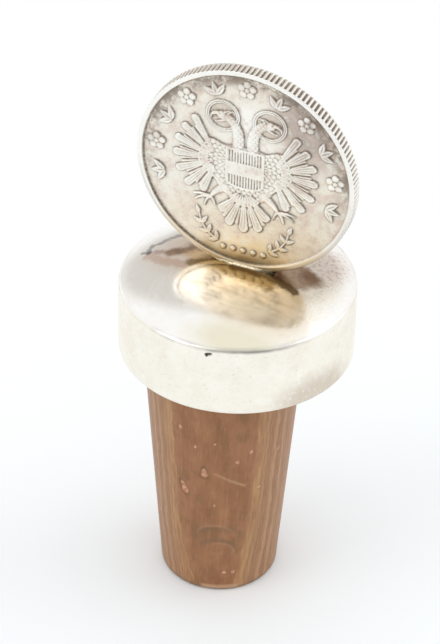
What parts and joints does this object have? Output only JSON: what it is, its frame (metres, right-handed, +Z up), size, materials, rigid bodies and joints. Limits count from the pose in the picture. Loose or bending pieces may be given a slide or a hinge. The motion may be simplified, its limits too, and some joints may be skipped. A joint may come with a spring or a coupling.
{
  "type": "wine bottle stopper",
  "caption": "Bottle stopper: a reeded silver coin stands on edge on a domed, banded, hollow silver cap, screwed to a tapered brown plug that seals a bottle's neck.",
  "frame": {"origin": "centre of the plug's flat foot, on the plug's axis", "axes": "+Z up along the plug's axis to the coin; the coin lies in the XZ plane, its front looks towards -Y, and the cap and the coin sit a little towards +X"},
  "size_m": [0.0306, 0.0304, 0.0781],
  "materials": {
    "toned_silver": "struck silver, warm grey toning, worn bright on the rim and the relief",
    "solder": "silver solder, bright, greenish grey at its lump",
    "polished_silver": "polished, with brown heat stain around the coin",
    "matte_silver": "matte, fine scratches, brown toning low on one side",
    "plate_silver": "satin, tarnished at the edges",
    "screw_steel": "machined",
    "plug_wood": "smooth turned, swirling upright grain with small pits"
  },
  "bodies": {
    "root": {"coin": "toned_silver", "coin_solder": "solder", "cap_dome": "polished_silver", "cap_band": "matte_silver", "base_plate": "plate_silver", "fixing_screw": "screw_steel", "plug": "plug_wood"}
  },
  "joints": []
}
